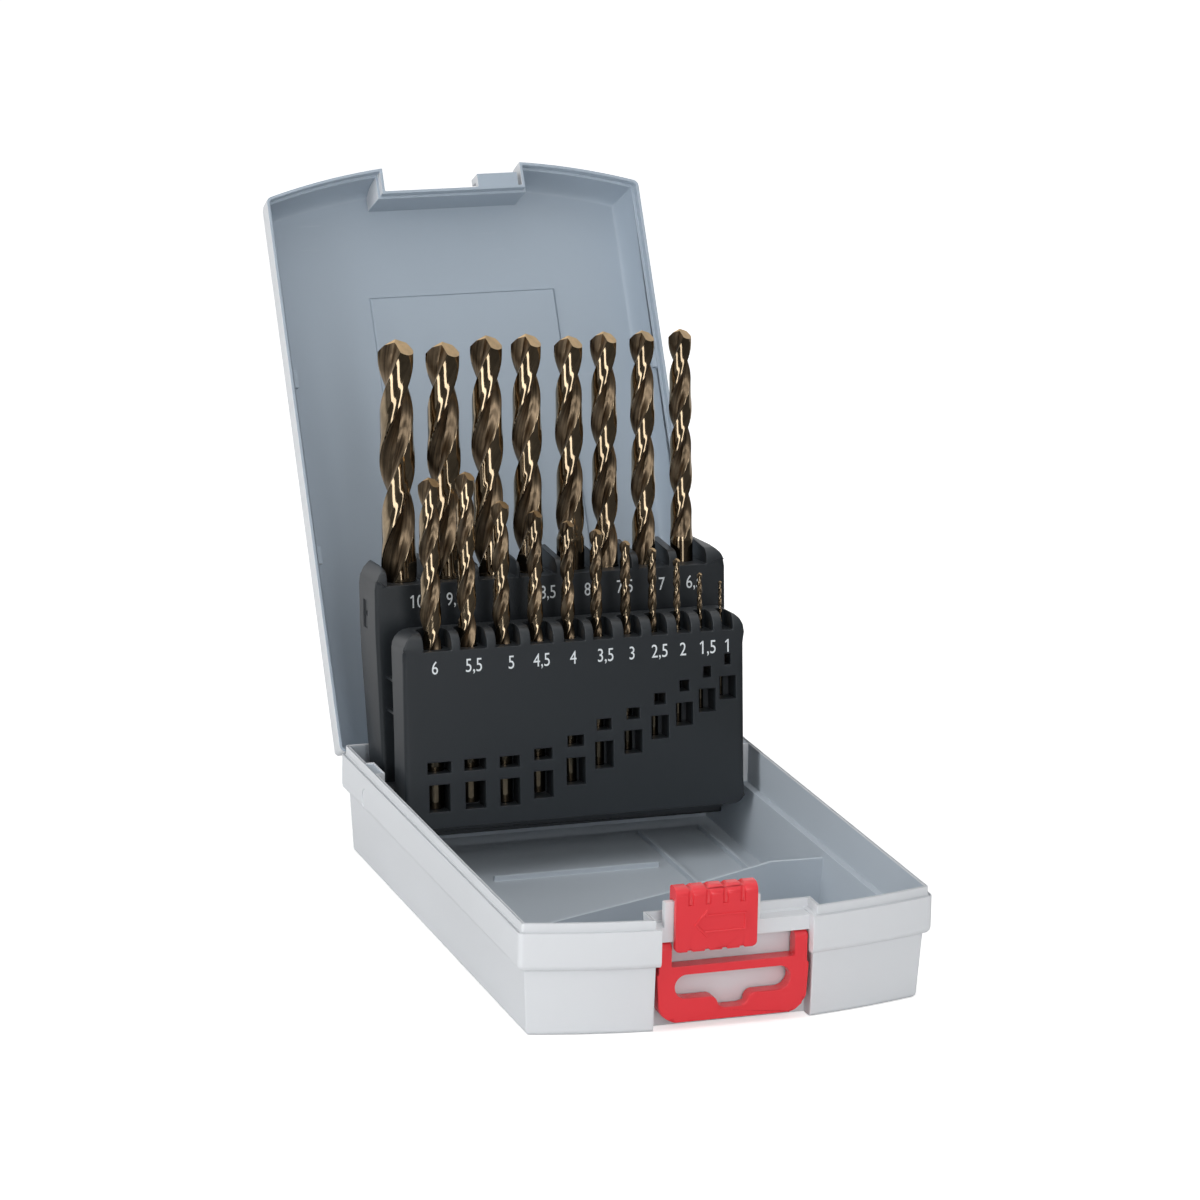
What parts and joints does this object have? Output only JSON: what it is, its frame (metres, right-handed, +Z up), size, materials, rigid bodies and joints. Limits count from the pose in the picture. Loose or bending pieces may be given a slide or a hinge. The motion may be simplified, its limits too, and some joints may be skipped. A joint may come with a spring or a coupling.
{
  "type": "drill bit case",
  "caption": "Hinged plastic case with a fold-down two-tier rack of graded twist drills, a sliding latch and a swing-out hanger, shown open.",
  "frame": {"origin": "centre of the base's bottom face, halfway between the hinge line and the front corners", "axes": "+X to the right seen from the latch, +Y from the latch to the hinge, +Z up"},
  "size_m": [0.114, 0.2675, 0.1796],
  "materials": {
    "case_plastic": "satin",
    "rack_plastic": "satin",
    "red_plastic": "semi-gloss",
    "drill_steel": "bronze-tempered, ground",
    "pin_steel": "drawn"
  },
  "bodies": {
    "base": {"base_shell": "case_plastic", "hinge_pin_left": "pin_steel", "hinge_pin_right": "pin_steel"},
    "lid": {"lid_shell": "case_plastic"},
    "rack": {"drill_rack": "rack_plastic"},
    "latch": {"latch_slider": "red_plastic"},
    "handle": {"hanger_handle": "red_plastic"},
    "drill_10": {"drill_10": "drill_steel"},
    "drill_9_5": {"drill_9_5": "drill_steel"},
    "drill_9": {"drill_9": "drill_steel"},
    "drill_8_5": {"drill_8_5": "drill_steel"},
    "drill_8": {"drill_8": "drill_steel"},
    "drill_7_5": {"drill_7_5": "drill_steel"},
    "drill_7": {"drill_7": "drill_steel"},
    "drill_6_5": {"drill_6_5": "drill_steel"},
    "drill_6": {"drill_6": "drill_steel"},
    "drill_5_5": {"drill_5_5": "drill_steel"},
    "drill_5": {"drill_5": "drill_steel"},
    "drill_4_5": {"drill_4_5": "drill_steel"},
    "drill_4": {"drill_4": "drill_steel"},
    "drill_3_5": {"drill_3_5": "drill_steel"},
    "drill_3": {"drill_3": "drill_steel"},
    "drill_2_5": {"drill_2_5": "drill_steel"},
    "drill_2": {"drill_2": "drill_steel"},
    "drill_1_5": {"drill_1_5": "drill_steel"},
    "drill_1": {"drill_1": "drill_steel"}
  },
  "joints": [
    {"name": "lid_hinge", "type": "hinge", "parent": "base", "child": "lid", "pos_m": [0, 0.0825, 0.0287], "axis": [1, 0, 0], "range_deg": [0, 118.9]},
    {"name": "rack_pivot", "type": "hinge", "parent": "base", "child": "rack", "pos_m": [0, 0.058, 0.0218], "axis": [1, 0, 0], "range_deg": [0, 94.8]},
    {"name": "latch_slide", "type": "slide", "parent": "base", "child": "latch", "axis": [1, 0, 0], "range_m": [0, 0.01035]},
    {"name": "handle_swing", "type": "hinge", "parent": "base", "child": "handle", "pos_m": [0, -0.085, 0.022], "axis": [-1, 0, 0], "range_deg": [0, 90]},
    {"name": "drill_10_lift", "type": "slide", "parent": "rack", "child": "drill_10", "axis": [0, -0.0837, -0.9965], "range_m": [-0.073, 0]},
    {"name": "drill_9_5_lift", "type": "slide", "parent": "rack", "child": "drill_9_5", "axis": [0, -0.0837, -0.9965], "range_m": [-0.066, 0]},
    {"name": "drill_9_lift", "type": "slide", "parent": "rack", "child": "drill_9", "axis": [0, -0.0837, -0.9965], "range_m": [-0.065, 0]},
    {"name": "drill_8_5_lift", "type": "slide", "parent": "rack", "child": "drill_8_5", "axis": [0, -0.0837, -0.9965], "range_m": [-0.057, 0]},
    {"name": "drill_8_lift", "type": "slide", "parent": "rack", "child": "drill_8", "axis": [0, -0.0837, -0.9965], "range_m": [-0.058, 0]},
    {"name": "drill_7_5_lift", "type": "slide", "parent": "rack", "child": "drill_7_5", "axis": [0, -0.0837, -0.9965], "range_m": [-0.05, 0]},
    {"name": "drill_7_lift", "type": "slide", "parent": "rack", "child": "drill_7", "axis": [0, -0.0837, -0.9965], "range_m": [-0.05, 0]},
    {"name": "drill_6_5_lift", "type": "slide", "parent": "rack", "child": "drill_6_5", "axis": [0, -0.0837, -0.9965], "range_m": [-0.042, 0]},
    {"name": "drill_6_lift", "type": "slide", "parent": "rack", "child": "drill_6", "axis": [0, -0.0837, -0.9965], "range_m": [-0.052, 0]},
    {"name": "drill_5_5_lift", "type": "slide", "parent": "rack", "child": "drill_5_5", "axis": [0, -0.0837, -0.9965], "range_m": [-0.051, 0]},
    {"name": "drill_5_lift", "type": "slide", "parent": "rack", "child": "drill_5", "axis": [0, -0.0837, -0.9965], "range_m": [-0.053, 0]},
    {"name": "drill_4_5_lift", "type": "slide", "parent": "rack", "child": "drill_4_5", "axis": [0, -0.0837, -0.9965], "range_m": [-0.05, 0]},
    {"name": "drill_4_lift", "type": "slide", "parent": "rack", "child": "drill_4", "axis": [0, -0.0837, -0.9965], "range_m": [-0.048, 0]},
    {"name": "drill_3_5_lift", "type": "slide", "parent": "rack", "child": "drill_3_5", "axis": [0, -0.0837, -0.9965], "range_m": [-0.046, 0]},
    {"name": "drill_3_lift", "type": "slide", "parent": "rack", "child": "drill_3", "axis": [0, -0.0837, -0.9965], "range_m": [-0.041, 0]},
    {"name": "drill_2_5_lift", "type": "slide", "parent": "rack", "child": "drill_2_5", "axis": [0, -0.0837, -0.9965], "range_m": [-0.04, 0]},
    {"name": "drill_2_lift", "type": "slide", "parent": "rack", "child": "drill_2", "axis": [0, -0.0837, -0.9965], "range_m": [-0.035, 0]},
    {"name": "drill_1_5_lift", "type": "slide", "parent": "rack", "child": "drill_1_5", "axis": [0, -0.0837, -0.9965], "range_m": [-0.031, 0]},
    {"name": "drill_1_lift", "type": "slide", "parent": "rack", "child": "drill_1", "axis": [0, -0.0837, -0.9965], "range_m": [-0.028, 0]}
  ],
  "couplings": [
    {"joint": "rack_pivot", "follows": "lid_hinge", "ratio": 0.79731}
  ]
}
